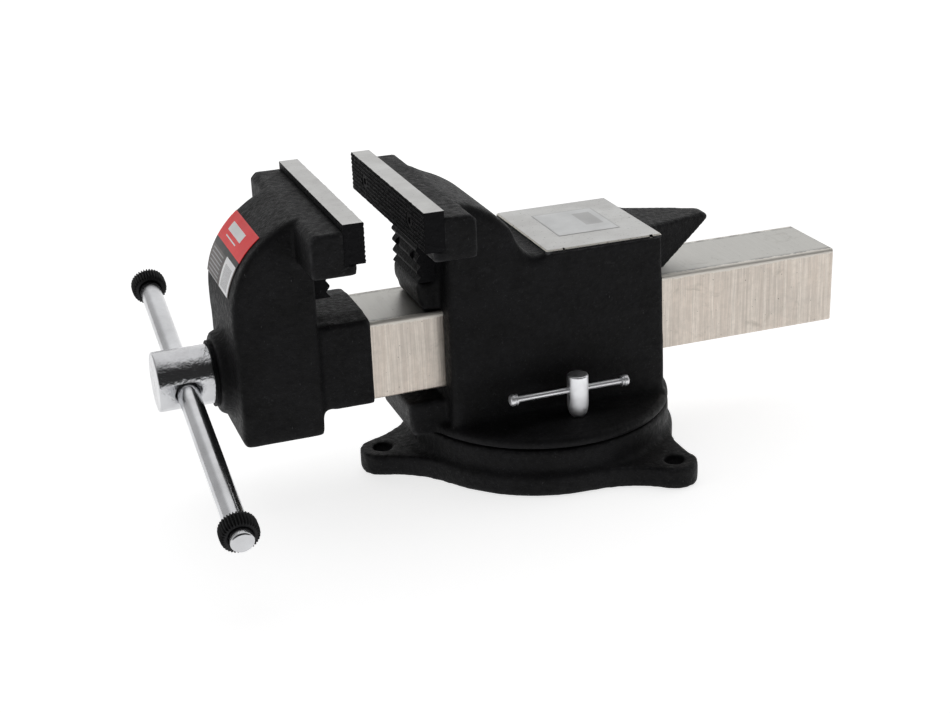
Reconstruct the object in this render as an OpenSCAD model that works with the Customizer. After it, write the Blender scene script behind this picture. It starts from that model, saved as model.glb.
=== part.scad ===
// Swivel-base bench vise: a fixed jaw with anvil and horn on a turning flange, a moving jaw
// on a hollow slide bar, and a lead screw with a sliding cross handle.
// Millimetres. +Z is up. The origin is on the swivel axis at the underside of the base, and
// the slide bar runs along X with the moving jaw towards -X.

/* [Jaws] */
// Width of both jaws across the vise
jaw_w = 150; // [130:1:190]
// Opening between the jaw plates as drawn
jaw_open = 34; // [12:1:90]
// Widest opening that the screw allows
jaw_open_max = 150; // [120:1:160]
// Height of the jaw tops above the underside of the base
jaw_top = 190; // [182:1:240]
// Height of a jaw plate
plate_h = 24.3; // [20:0.1:30]
// Thickness of a jaw plate
plate_t = 12; // [10:0.5:16]
// How far a plate stands above the casting behind it
plate_rise = 4.5; // [2:0.5:8]
// Height of the casting lip under each plate
lip_h = 7; // [5:0.5:10]
// How far the lip stays back from the clamping face
lip_set = 6; // [3:0.5:9]
// Depth of a jaw from its clamping face to the back of the casting
jaw_d = 32.7; // [28:0.1:44]
// Bevel along the rear top edge of each jaw casting
jaw_bevel = 3.5; // [1:0.5:6]
// Distance between the two screws of a jaw plate
plate_screw_pitch = 92; // [70:1:110]

/* [Pipe jaws] */
// Width of the pipe jaw inserts
pipe_w = 50; // [40:1:60]
// Height of the pipe jaw inserts
pipe_h = 28.5; // [24:0.5:34]
// Thickness of the inserts over the teeth
pipe_t = 11.5; // [9:0.5:12]
// How far the teeth stay back from the clamping face
pipe_set = 10.5; // [8:0.5:16]
// Pitch of the pipe teeth
tooth_pitch = 7.1; // [4:0.1:9]
// Depth of the pipe teeth
tooth_d = 2.4; // [1:0.1:3]
// Distance between the two screws of an insert
pipe_screw_pitch = 30; // [22:1:34]

/* [Fixed body] */
// Distance from the swivel axis to the fixed clamping face
face_ahead = 97; // [92:1:120]
// Width of the body casting
body_w = 88; // [84:1:104]
// Front of the body block ahead of the swivel axis
body_front = 73; // [68:1:76]
// Height of the anvil above the underside of the base
anvil_z = 145.3; // [138:0.1:152]
// Length of the anvil face
anvil_l = 78; // [60:1:90]
// Rear edge of the anvil behind the swivel axis
anvil_back = 69; // [64:1:72]
// How far the rear wall leans out towards its foot
rear_draft = 4; // [0:0.5:8]
// Radius of the upright corners of the body
body_corner_r = 5; // [2:0.5:8]
// Reach of the horn behind the anvil
horn_l = 52; // [36:1:60]
// Width of the horn where it leaves the body
horn_w = 50; // [36:1:56]
// Width of the horn's blunt tip
horn_tip_w = 12; // [8:1:20]
// How far the foot of the bar rest stays back from the fixed clamping face
nose_in = 1; // [0:0.5:10]
// How far the bar rest leans forward towards its top
nose_lean = 3; // [0:0.5:5]
// Free height between the bar rest and the slide bar
nose_drop = 6; // [3:0.5:10]
// Width of the bar rest below the slide bar
nose_w = 64; // [50:1:70]

/* [Moving jaw] */
// Depth of the moving casting from its clamping face to its front
moving_d = 73; // [68:1:84]
// Width of the moving column
column_w = 76; // [70:1:86]
// Radius of the shoulder over the screw
shoulder_r = 61; // [56:1:64]
// How far the shoulder starts below the top of the jaw casting
shoulder_drop = 0.6; // [0:0.1:3]
// Radius of the shoulder's side edges and of the column's front edges
column_edge_r = 3; // [1:0.5:8]
// Height of the column's underside above the underside of the base
column_z = 46; // [34:1:56]
// Diameter of the screw boss
boss_d = 52; // [44:1:60]
// Projection of the screw boss
boss_l = 8; // [4:0.5:14]
// How far the bar collar reaches past the moving clamping face
collar_reach = 11.5; // [4:0.5:11.5]
// Wall of the bar collar beside the bar
collar_side = 4.5; // [3:0.5:8]
// Crown of the bar collar above the bar
collar_crown = 5.5; // [4:0.5:9]
// Height of the collar's sides above the bar
collar_cheek = 3.5; // [1:0.5:4]

/* [Slide bar] */
// Width of the slide bar
bar_w = 57; // [50:0.1:69]
// Height of the slide bar
bar_h = 50.6; // [46:0.1:54]
// Height of the bar's top face above the underside of the base
bar_top = 111; // [106:0.5:116]
// Length of the slide bar
bar_l = 363; // [350:1:420]
// Side of the square channel inside the bar
channel_w = 34; // [31:0.5:36]
// Width of the slot along the underside of the bar
bar_slot_w = 21; // [18:0.5:24]
// Radius of the bar's long edges
bar_edge_r = 2; // [1:0.5:4]
// Depth of the bar's seat in the moving column
bar_seat = 7; // [4:0.5:12]

/* [Lead screw] */
// Diameter of the lead screw
screw_d = 24; // [20:0.5:26]
// Depth of the screw axis below the top of the bar
screw_drop = 27; // [25:0.5:28]
// Diameter of the screw head
head_d = 37; // [32:0.5:42]
// Length of the screw head
head_l = 34; // [28:0.5:42]
// Thickness of the thrust washer behind the head
thrust_t = 2; // [1:0.5:4]
// Length of screw left behind the nut at the widest opening
screw_spare = 45; // [20:1:60]
// Length of the nut
nut_l = 56; // [40:1:60]
// Side of the nut block in the channel
nut_w = 29.5; // [28:0.5:30]

/* [Handle] */
// Diameter of the handle bar
handle_d = 13.5; // [11:0.1:16.5]
// Length of the handle bar
handle_l = 279; // [230:1:320]
// Slope of the handle below level, in degrees
handle_tilt = 13; // [0:1:45]
// How far the handle has slid towards its low end
handle_slip = 20; // [0:1:60]
// Outside diameter of the rubber rings
ring_d = 22.5; // [19:0.5:28]
// Width of a rubber ring
ring_w = 10.5; // [8:0.5:14]
// Bare length of handle beyond each ring
handle_stub = 5; // [3:0.5:10]

/* [Swivel base] */
// Radius of the base ring and of the flange on it
base_r = 86; // [84:1:96]
// Height of the base up to the swivel face
base_h = 30.5; // [28:0.5:31]
// Radius of the foot of the ring
foot_r = 89; // [88:0.5:100]
// Height of the foot and the ears
ear_h = 14; // [10:0.5:18]
// Number of mounting ears
ear_n = 3; // [3:1:4]
// Radius of the circle through the mounting holes
ear_hole_r = 108; // [106:1:120]
// Radius of the rounded end of an ear
ear_end_r = 15; // [12:0.5:18]
// Radius of the hollow flanks between an ear and the foot
ear_flank_r = 60; // [40:1:90]
// Diameter of the mounting holes
ear_hole_d = 12; // [9:0.5:14]
// Angle of the first ear from +X, in degrees
ear_turn = 60; // [0:1:90]
// Radius of the centre spigot
spigot_r = 25; // [20:0.5:30]
// Height of the flange rim
rim_h = 7; // [5:0.5:9]

/* [Lock bolts] */
// Distance from the swivel axis to each lock bolt
lock_r = 60; // [58:0.5:64]
// Angle of the lock bolts behind the cross line of the vise, in degrees
lock_lead = 3.4; // [0:0.1:6]
// Diameter of a lock bolt's head
lock_head_d = 13.5; // [12:0.5:16]
// Diameter of a lock bolt's shank
lock_d = 8; // [7:0.5:12]
// Height of a lock bolt's top above the underside of the base
lock_top = 68; // [62:0.5:76]
// Height of the cross bar above the underside of the base
lock_bar_z = 58; // [54:0.5:62]
// Diameter of the cross bar
lock_bar_d = 4; // [3:0.5:5]
// Length of the cross bar with its caps
lock_bar_l = 80; // [60:1:90]
// How far the cross bar has slid along its hole
lock_bar_slip = 5.5; // [0:0.5:20]
// Diameter of the cross bar's caps
lock_cap_d = 6.5; // [5.5:0.5:9]
// Length of a cap
lock_cap_l = 5; // [3:0.5:8]

/* [Clearances] */
// Radial clearance of a turning shaft in its hole
run_gap = 0.08; // [0.03:0.01:0.1]
// Clearance on each side of the slide bar in the body
slide_gap = 0.25; // [0.1:0.05:0.5]
// Free space between castings that pass each other
pass_gap = 1; // [0.5:0.25:1.5]

/* [Hidden] */
$fn = 64;
eps = 0.01;

// Depth from a clamping face to the casting behind its pipe jaw
column_set = pipe_set + pipe_t;

// Heights shared by both jaws
seat_z = jaw_top - plate_h;
cast_top = jaw_top - plate_rise;
cast_low = seat_z - lip_h;
pipe_low = cast_low - pipe_h;
plate_screw_z = jaw_top - plate_h / 2;

// Slide bar and screw
bar_low = bar_top - bar_h;
screw_z = bar_top - screw_drop;
bar_front = -face_ahead - jaw_open - column_set - bar_seat;
channel_low = screw_z - channel_w / 2;

// Socket screws of the jaw plates and of the pipe jaws: head and shank diameters
m6_head_d = 10;
m6_head_h = 6;
m6_d = 6;
m6_l = 26;
m6_socket = 5;
m4_head_d = 7;
m4_head_h = 4;
m4_d = 4;
m4_l = 16;
m4_socket = 3;
screw_room = 0.5;

// Fixed body
flange_low = base_h;
rim_top = base_h + rim_h;
cone_top = rim_top + 4;
cone_r = base_r - 24;
anvil_front = anvil_back - anvil_l;
anvil_step = 3.8;
neck_pad_w = pipe_w + 2;
ledge_front = -face_ahead + pipe_set - 0.5;
ledge_low_front = -face_ahead + collar_reach + pass_gap;
nose_top = bar_low - nose_drop;
nose_low = base_h + pass_gap;
nose_front = -face_ahead + nose_in;
spigot_l = 12;

// Base T-slot and the nuts in it
slot_half = lock_d / 2 + 1;
nut_half = 11;
nut_h = 10;
undercut_half = nut_half + 2;
slot_floor = 10;
slot_roof = slot_floor + nut_h + 2;
nut_z = slot_floor + 1.5;
lock_shank_low = nut_z - 0.5;
base_bevel = 1.2;
core_r = spigot_r + 20;
core_h = 4;

// Lead screw
head_back = -face_ahead - jaw_open - moving_d - boss_l - thrust_t;
head_front = head_back - head_l;
handle_x = head_back - head_l / 2;
screw_end = jaw_open_max - jaw_open + nut_l / 2 + screw_spare;
washer_d = channel_w - 2;
washer_t = 4;
pin_d = 5;
pin_l = washer_d - 2;
washer_x = bar_front + 0.3;
pin_x = washer_x + washer_t + pin_d / 2;

// Nut foot in the body floor
foot_w = bar_slot_w - 2;
foot_drop = 5;
nut_screw_d = 12;
nut_screw_head_d = 18;
nut_screw_head_h = 8;

// Axis of the shoulder behind the moving clamping face, and its height
shoulder_x = moving_d - shoulder_r;
shoulder_z = cast_top - shoulder_drop - sqrt(pow(shoulder_r, 2) - pow(jaw_d - shoulder_x, 2));

// Bar collar and the dowels in its floor
collar_floor = 1;
dowel_d = 6;
dowel_l = 5;
dowel_pitch = 16;

// Labels: the shoulder's runs between two angles above the level of the shoulder's axis
label_t = 0.3;
shoulder_label_w = 62;
shoulder_label_y = 3.5;
shoulder_label_from = 11;
shoulder_label_to = 50;
anvil_label_l = 42;
anvil_label_w = 47;
anvil_label_y = 3;

// Extrudes an XZ outline across the vise, w wide
module across(w) {
    rotate([90, 0, 0]) linear_extrude(w, center = true) children();
}

// Puts a part that is drawn behind a clamping face at x = 0 onto the fixed jaw
module at_fixed() {
    translate([-face_ahead, 0, 0]) children();
}

// The same for the moving jaw, which faces the other way
module at_moving() {
    translate([-face_ahead - jaw_open, 0, 0]) mirror([1, 0, 0]) children();
}

// Rounded rectangle l x w with corner radius r, centred on the origin
module rounded(l, w, r) {
    square([l - 2 * r, w], center = true);
    square([l, w - 2 * r], center = true);
    for (i = [-1, 1], j = [-1, 1])
        translate([i * (l / 2 - r), j * (w / 2 - r)]) circle(r);
}

// A rod of diameter d along +X
module rod_x(d, l) {
    rotate([0, 90, 0]) cylinder(d = d, h = l);
}

// Socket head screw with its head at x = 0 and its shank along +X
module socket_screw(head, head_h, d, l, socket) {
    difference() {
        union() {
            rod_x(head, head_h);
            rod_x(d, l);
        }
        translate([-eps, 0, 0]) rotate([0, 90, 0]) cylinder(d = socket, h = head_h / 2, $fn = 6);
    }
}

// ---- Jaws ----

// Casting that carries a jaw plate, behind a clamping face at x = 0
module jaw_casting() {
    across(jaw_w) polygon([
        [lip_set, cast_low], [jaw_d, cast_low], [jaw_d, cast_top - jaw_bevel],
        [jaw_d - jaw_bevel, cast_top], [plate_t, cast_top], [plate_t, seat_z],
        [lip_set, seat_z]
    ]);
}

// Where the two screws of a jaw plate go
module plate_screw_places() {
    for (side = [-1, 1])
        translate([0, side * plate_screw_pitch / 2, plate_screw_z]) children();
}

module jaw_plate() {
    difference() {
        translate([0, -jaw_w / 2, seat_z]) cube([plate_t, jaw_w, plate_h]);
        plate_screw_places() {
            translate([-eps, 0, 0]) rod_x(m6_head_d + screw_room, m6_head_h + 1);
            translate([-eps, 0, 0]) rod_x(m6_d + screw_room, plate_t + 1);
        }
    }
}

module plate_screws() {
    plate_screw_places() translate([1, 0, 0])
        socket_screw(m6_head_d, m6_head_h, m6_d, m6_l, m6_socket);
}

module plate_screw_holes() {
    plate_screw_places() translate([1, 0, 0]) rod_x(m6_d, m6_l);
}

// ---- Pipe jaws ----

module pipe_screw_places() {
    for (side = [-1, 1])
        translate([pipe_set, side * pipe_screw_pitch / 2, pipe_low + pipe_h / 2]) children();
}

// Toothed insert: the teeth run across the vise so that a pipe lies level between them
module pipe_jaw() {
    teeth = floor(pipe_h / tooth_pitch);
    notch_half = tooth_pitch * 0.42;
    difference() {
        translate([pipe_set, -pipe_w / 2, pipe_low]) cube([pipe_t, pipe_w, pipe_h]);
        for (i = [0:teeth - 1])
            translate([pipe_set, 0, pipe_low + (i + 0.5) * pipe_h / teeth])
                across(pipe_w + 2) polygon([
                    [-eps, -notch_half], [tooth_d, 0], [-eps, notch_half]
                ]);
        pipe_screw_places() {
            translate([-eps, 0, 0]) rod_x(m4_head_d + screw_room, m4_head_h + tooth_d);
            rod_x(m4_d + screw_room, pipe_t + 1);
        }
    }
}

module pipe_screws() {
    pipe_screw_places() translate([tooth_d, 0, 0])
        socket_screw(m4_head_d, m4_head_h, m4_d, m4_l, m4_socket);
}

module pipe_screw_holes() {
    pipe_screw_places() translate([tooth_d, 0, 0]) rod_x(m4_d, m4_l);
}

// ---- Swivel base ----

// Middle of a lock bolt; side is -1 near and 1 far
module at_lock(side) {
    translate([lock_r * sin(lock_lead), side * lock_r * cos(lock_lead), 0]) children();
}

// Ear outline: a round end whose flanks are arcs that run smoothly into the foot of the ring
module ear_outline() {
    to_end = ear_end_r + ear_flank_r;
    to_foot = foot_r + ear_flank_r;
    flank_x = (pow(to_foot, 2) - pow(to_end, 2) + pow(ear_hole_r, 2)) / (2 * ear_hole_r);
    flank_y = sqrt(pow(to_foot, 2) - pow(flank_x, 2));
    translate([ear_hole_r, 0]) circle(ear_end_r);
    difference() {
        polygon([[0, 0], [flank_x, -flank_y], [ear_hole_r, 0], [flank_x, flank_y]]);
        for (side = [-1, 1])
            translate([flank_x, side * flank_y]) circle(ear_flank_r);
    }
}

module swivel_base() color("#161616") difference() {
    union() {
        rotate_extrude() polygon([
            [0, 0], [foot_r - 1, 0], [foot_r, 1], [foot_r, ear_h - 1], [foot_r - 1, ear_h],
            [base_r + 0.5, ear_h + 1.5], [base_r, ear_h + 3], [base_r, base_h - base_bevel],
            [base_r - base_bevel, base_h], [0, base_h]
        ]);
        for (i = [0:ear_n - 1]) rotate(ear_turn + i * 360 / ear_n)
            linear_extrude(ear_h) ear_outline();
    }
    for (i = [0:ear_n - 1]) rotate(ear_turn + i * 360 / ear_n)
        translate([ear_hole_r, 0, -1]) cylinder(d = ear_hole_d, h = ear_h + 2);
    translate([0, 0, -1]) cylinder(r = spigot_r + run_gap, h = base_h + 2);
    // T-slot for the lock nuts
    rotate_extrude() polygon([
        [lock_r - slot_half, base_h + 1], [lock_r - slot_half, slot_roof],
        [lock_r - undercut_half, slot_roof], [lock_r - undercut_half, slot_floor],
        [lock_r + undercut_half, slot_floor], [lock_r + undercut_half, slot_roof],
        [lock_r + slot_half, slot_roof], [lock_r + slot_half, base_h + 1]
    ]);
    // Core under the ring
    translate([0, 0, -1]) cylinder(r = core_r, h = core_h + 1);
}

// Square nut that runs in the T-slot
module lock_nuts() color("#8c8f93") {
    for (side = [-1, 1]) at_lock(side) rotate(-side * lock_lead) translate([0, 0, nut_z])
        difference() {
            translate([-nut_half, -nut_half, 0]) cube([2 * nut_half, 2 * nut_half, nut_h]);
            translate([0, 0, -1]) cylinder(r = lock_d / 2 + run_gap, h = nut_h + 2);
        }
}

// ---- Fixed body ----

// Side outline of the body block, its neck and the anvil. The neck's top is given as shares
// of its run from the jaw to the anvil and of its fall to the groove in front of the anvil.
module body_outline() {
    neck = -face_ahead + jaw_d;
    run = anvil_front - neck;
    fall = cast_top - (anvil_z - anvil_step);
    neck_curve = [[0.22, 0.14], [0.42, 0.29], [0.62, 0.53], [0.70, 0.80], [0.82, 0.96], [1, 1]];
    polygon(concat(
        [[-body_front, flange_low + 2], [-body_front, cast_top - eps],
         [neck - jaw_bevel, cast_top - eps]],
        [for (share = neck_curve) [neck + run * share[0], cast_top - fall * share[1]]],
        [[anvil_front, anvil_z], [anvil_back, anvil_z], [anvil_back + rear_draft, flange_low + 2]]
    ));
}

// Blunt four-sided horn behind the anvil, clear of the bar below
module horn() {
    low = bar_top + pass_gap + 1;
    tip = anvil_back + horn_l;
    intersection() {
        across(horn_w) polygon([
            [anvil_back - 5, low], [anvil_back + 13, low], [tip - 3, anvil_z - 10],
            [tip, anvil_z - 8], [tip, anvil_z - 5], [tip - 3, anvil_z - 3],
            [anvil_back - 5, anvil_z - 0.8]
        ]);
        linear_extrude(jaw_top) polygon([
            [anvil_back - 5, -horn_w / 2], [anvil_back, -horn_w / 2],
            [tip, -horn_tip_w / 2], [tip, horn_tip_w / 2],
            [anvil_back, horn_w / 2], [anvil_back - 5, horn_w / 2]
        ]);
    }
}

// Round flange that turns on the base, with the centre spigot
module flange() {
    rotate_extrude() polygon([
        [0, flange_low - spigot_l], [spigot_r, flange_low - spigot_l], [spigot_r, flange_low],
        [base_r - base_bevel, flange_low], [base_r, flange_low + base_bevel],
        [base_r, rim_top - 2], [base_r - 2, rim_top], [cone_r, cone_top], [0, cone_top]
    ]);
}

// Rest under the bar ahead of the body
module nose() {
    across(nose_w) polygon([
        [nose_front, nose_low], [nose_front - nose_lean, nose_top],
        [-body_front + 8, nose_top], [-body_front + 8, nose_low]
    ]);
}

// Neck pad behind the pipe jaw and the ledge below it, which clears the bar collar
module neck_pad() {
    back = -body_front + 2;
    clear_z = bar_top + collar_crown + pass_gap;
    across(neck_pad_w) polygon([
        [-face_ahead + column_set, cast_low + 2], [-face_ahead + column_set, pipe_low],
        [ledge_front, pipe_low], [ledge_front, clear_z + 3], [ledge_low_front, clear_z],
        [ledge_low_front, bar_top], [back, bar_top], [back, cast_low + 2]
    ]);
}

module static_body() color("#141414") difference() {
    union() {
        intersection() {
            across(body_w) body_outline();
            translate([(anvil_back + rear_draft - body_front) / 2, 0, 0])
                linear_extrude(jaw_top)
                    rounded(body_front + anvil_back + rear_draft, body_w, body_corner_r);
        }
        at_fixed() jaw_casting();
        neck_pad();
        horn();
        flange();
        nose();
    }
    // Passage of the slide bar
    translate([-face_ahead - 5, -bar_w / 2 - slide_gap, bar_low - slide_gap])
        cube([face_ahead + anvil_back + rear_draft + 10, bar_w + 2 * slide_gap,
              bar_h + 2 * slide_gap]);
    // Seat and screw of the nut
    translate([-nut_l / 2, -foot_w / 2, bar_low - foot_drop])
        cube([nut_l, foot_w, foot_drop + 1]);
    translate([0, 0, flange_low - spigot_l - 1]) {
        cylinder(d = nut_screw_d, h = bar_low + spigot_l + 2 - flange_low);
        cylinder(d = nut_screw_head_d + screw_room, h = nut_screw_head_h + 2);
    }
    at_fixed() {
        plate_screw_holes();
        pipe_screw_holes();
    }
    for (side = [-1, 1]) at_lock(side) translate([0, 0, flange_low - 1])
        cylinder(r = lock_d / 2 + run_gap, h = rim_h + 6);
}

module static_jaw_plate() color("#202020") at_fixed() jaw_plate();

module static_plate_screws() color("#2b2b2b") at_fixed() plate_screws();

module static_pipe_jaw() color("#1c1c1c") at_fixed() pipe_jaw();

module static_pipe_screws() color("#2b2b2b") at_fixed() pipe_screws();

module anvil_label() color("#c9c9c7")
    translate([(anvil_front + anvil_back) / 2, anvil_label_y, anvil_z + label_t / 2])
        cube([anvil_label_l, anvil_label_w, label_t], center = true);

// ---- Nut in the channel of the bar ----

module spindle_nut() color("#9a7b3a") difference() {
    union() {
        translate([-nut_l / 2, -nut_w / 2, screw_z - nut_w / 2]) cube([nut_l, nut_w, nut_w]);
        translate([-nut_l / 2, -foot_w / 2, bar_low - foot_drop])
            cube([nut_l, foot_w, screw_z - nut_w / 2 - bar_low + foot_drop + 1]);
    }
    translate([-nut_l, 0, screw_z]) rod_x(screw_d + 2 * run_gap, 2 * nut_l);
    translate([0, 0, bar_low - foot_drop - 1]) cylinder(d = nut_screw_d, h = 11);
}

module spindle_nut_screw() color("#6d7074") {
    low = flange_low - spigot_l + 1;
    difference() {
        union() {
            translate([0, 0, low]) cylinder(d = nut_screw_head_d, h = nut_screw_head_h);
            translate([0, 0, low]) cylinder(d = nut_screw_d, h = bar_low - foot_drop + 9 - low);
        }
        translate([0, 0, low - 1]) cylinder(d = 10, h = 5, $fn = 6);
    }
}

// ---- Moving jaw ----

// Moving column behind a clamping face at x = 0, under a shoulder with rounded side edges
module column() {
    back = column_set;
    room_w = column_w + 2;
    intersection() {
        translate([shoulder_x, 0, column_z]) linear_extrude(shoulder_z - column_z)
            rounded(2 * shoulder_r, column_w, column_edge_r);
        translate([back, -room_w / 2, 0]) cube([moving_d, room_w, jaw_top]);
    }
    intersection() {
        translate([shoulder_x, 0, shoulder_z]) rotate([90, 0, 0]) rotate_extrude($fn = 128)
            intersection() {
                rounded(2 * shoulder_r, column_w, column_edge_r);
                translate([0, -column_w / 2]) square([shoulder_r, column_w]);
            }
        translate([back, -room_w / 2, shoulder_z - eps])
            cube([moving_d, room_w, cast_top - shoulder_z]);
    }
}

// Cross-section of the bar, centred on its own middle height
module bar_section() {
    rounded(bar_w, bar_h, bar_edge_r);
}

// Collar round the bar: flat sides and a low crown
module collar_section() {
    half = bar_w / 2 + collar_side;
    polygon([
        [-half, bar_low - collar_floor], [half, bar_low - collar_floor],
        [half, bar_top + collar_cheek], [half / 2, bar_top + collar_crown],
        [-half / 2, bar_top + collar_crown], [-half, bar_top + collar_cheek]
    ]);
}

// Extrudes a YZ outline along X from x0 to x1
module along_x(x0, x1) {
    translate([x0, 0, 0]) rotate([90, 0, 90]) linear_extrude(x1 - x0) children();
}

module dowel_places() {
    for (side = [-1, 1], row = [0, 1])
        translate([-collar_reach + dowel_d + row * dowel_pitch, side * (bar_slot_w + bar_w) / 4, 0])
            children();
}

module moving_body() color("#141414") at_moving() difference() {
    union() {
        column();
        jaw_casting();
        along_x(-collar_reach, column_set + 1) collar_section();
        translate([moving_d - 1, 0, screw_z]) rod_x(boss_d, boss_l + 1);
    }
    along_x(-collar_reach - 1, column_set + bar_seat)
        translate([0, bar_low + bar_h / 2]) bar_section();
    translate([0, 0, screw_z]) rod_x(screw_d + 2 * run_gap, moving_d + boss_l + 1);
    plate_screw_holes();
    pipe_screw_holes();
    dowel_places() translate([0, 0, bar_low - 2]) cylinder(d = dowel_d, h = 3);
}

module moving_jaw_plate() color("#202020") at_moving() jaw_plate();

module moving_plate_screws() color("#2b2b2b") at_moving() plate_screws();

module moving_pipe_jaw() color("#1c1c1c") at_moving() pipe_jaw();

module moving_pipe_screws() color("#2b2b2b") at_moving() pipe_screws();

module slide_bar() color("#b9b5ac") difference() {
    along_x(bar_front, bar_front + bar_l) translate([0, bar_low + bar_h / 2]) bar_section();
    translate([bar_front - 1, -channel_w / 2, channel_low]) cube([bar_l + 2, channel_w, channel_w]);
    translate([bar_front + bar_seat + column_set, -bar_slot_w / 2, bar_low - 1])
        cube([bar_l, bar_slot_w, channel_low - bar_low + 2]);
    at_moving() dowel_places() translate([0, 0, bar_low - 1])
        cylinder(d = dowel_d, h = dowel_l + 1);
}

module slide_bar_dowels() color("#6d7074") at_moving() dowel_places()
    translate([0, 0, bar_low - collar_floor]) cylinder(d = dowel_d, h = dowel_l);

// Printed label on the shoulder, drawn as a thin curved sheet
module shoulder_label() color("#c0392b") at_moving() {
    far = 2 * shoulder_r;
    translate([0, shoulder_label_y, 0]) across(shoulder_label_w)
        translate([shoulder_x, shoulder_z]) intersection() {
            difference() {
                circle(shoulder_r + label_t, $fn = 128);
                circle(shoulder_r, $fn = 128);
            }
            polygon([
                [0, 0], [far * cos(shoulder_label_from), far * sin(shoulder_label_from)],
                [far * cos(shoulder_label_to), far * sin(shoulder_label_to)]
            ]);
        }
}

// ---- Lead screw ----

// Places a part along the handle: its own X becomes the handle's length, low end first
module on_handle() {
    translate([handle_x, 0, screw_z]) rotate([handle_tilt, 0, 0]) rotate([0, 0, -90])
        translate([handle_slip, 0, 0]) children();
}

module spindle() color("#c8c9cb") difference() {
    union() {
        translate([head_front, 0, screw_z]) rotate([0, 90, 0]) rotate_extrude() polygon([
            [0, 0], [head_d / 2 - 1, 0], [head_d / 2, 1], [head_d / 2, head_l - 0.5],
            [head_d / 2 - 0.5, head_l], [0, head_l]
        ]);
        translate([head_back - 1, 0, screw_z]) rod_x(screw_d, screw_end - head_back + 1);
    }
    on_handle() translate([-head_d - handle_slip, 0, 0]) rod_x(handle_d + 2 * run_gap, 2 * head_d);
    translate([pin_x, 0, screw_z - screw_d]) cylinder(d = pin_d, h = 2 * screw_d);
}

module thrust_washer() color("#7c7f83") translate([head_back, 0, screw_z]) difference() {
    rod_x(head_d + 4, thrust_t);
    translate([-1, 0, 0]) rod_x(screw_d + 2 * run_gap, thrust_t + 2);
}

module retaining_washer() color("#7c7f83") translate([washer_x, 0, screw_z]) difference() {
    rod_x(washer_d, washer_t);
    translate([-1, 0, 0]) rod_x(screw_d + 2 * run_gap, washer_t + 2);
}

module retaining_pin() color("#8c8f93")
    translate([pin_x, 0, screw_z - pin_l / 2]) cylinder(d = pin_d, h = pin_l);

// ---- Handle ----

module handle_bar() color("#cfd0d2") on_handle() translate([-handle_l / 2, 0, 0])
    rotate([0, 90, 0]) rotate_extrude() polygon([
        [0, 0], [handle_d / 2 - 1.5, 0], [handle_d / 2, 1.5], [handle_d / 2, handle_l - 1.5],
        [handle_d / 2 - 1.5, handle_l], [0, handle_l]
    ]);

// Rubber ring; side is 1 at the low end and -1 at the high end
module handle_ring(side) {
    middle = side * (handle_l / 2 - handle_stub - ring_w / 2);
    on_handle() translate([middle - ring_w / 2, 0, 0]) difference() {
        rod_x(ring_d, ring_w);
        translate([-1, 0, 0]) rod_x(handle_d, ring_w + 2);
    }
}

module handle_ring_far() color("#1a1a1a") handle_ring(-1);

module handle_ring_near() color("#1a1a1a") handle_ring(1);

// ---- Lock bolts ----

// Bolt with a rounded foot, drilled for its cross bar; side is -1 near and 1 far
module lock_bolt(side) {
    foot = cone_top - 1;
    at_lock(side) difference() {
        rotate_extrude() polygon([
            [0, lock_shank_low], [lock_d / 2, lock_shank_low], [lock_d / 2, foot + 1.5],
            [lock_head_d / 2 - 0.6, foot + 5], [lock_head_d / 2, foot + 9],
            [lock_head_d / 2, lock_top - 1], [lock_head_d / 2 - 1, lock_top], [0, lock_top]
        ]);
        translate([-lock_head_d, 0, lock_bar_z])
            rod_x(lock_bar_d + 2 * run_gap, 2 * lock_head_d);
    }
}

module lock_bar(side) {
    at_lock(side) translate([-lock_bar_l / 2 + 1 + side * lock_bar_slip, 0, lock_bar_z])
        rod_x(lock_bar_d, lock_bar_l - 2);
}

module lock_bar_caps(side) {
    for (end = [-1, 1])
        at_lock(side) translate([side * lock_bar_slip, 0, lock_bar_z])
            rotate([0, end * 90, 0]) translate([0, 0, lock_bar_l / 2 - lock_cap_l])
                rotate_extrude() polygon([
                    [0, lock_cap_l - 1], [lock_bar_d / 2, lock_cap_l - 1],
                    [lock_bar_d / 2, 0], [lock_cap_d / 2 - 0.8, 0], [lock_cap_d / 2, 0.8],
                    [lock_cap_d / 2, lock_cap_l - 1.5], [lock_cap_d / 2 - 1.5, lock_cap_l],
                    [0, lock_cap_l]
                ]);
}

module lock_bolt_near() color("#c8c9cb") lock_bolt(-1);

module lock_bar_near() color("#cfd0d2") lock_bar(-1);

module lock_bar_caps_near() color("#c8c9cb") lock_bar_caps(-1);

module lock_bolt_far() color("#c8c9cb") lock_bolt(1);

module lock_bar_far() color("#cfd0d2") lock_bar(1);

module lock_bar_caps_far() color("#c8c9cb") lock_bar_caps(1);

swivel_base();
static_body();
static_jaw_plate();
static_plate_screws();
static_pipe_jaw();
static_pipe_screws();
spindle_nut();
spindle_nut_screw();
anvil_label();
lock_nuts();
moving_body();
moving_jaw_plate();
moving_plate_screws();
moving_pipe_jaw();
moving_pipe_screws();
slide_bar();
slide_bar_dowels();
shoulder_label();
spindle();
thrust_washer();
retaining_washer();
retaining_pin();
handle_bar();
handle_ring_far();
handle_ring_near();
lock_bolt_near();
lock_bar_near();
lock_bar_caps_near();
lock_bolt_far();
lock_bar_far();
lock_bar_caps_far();
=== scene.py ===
import math

import bmesh
import bpy
import numpy as np
from mathutils import Matrix, Vector, noise


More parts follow.
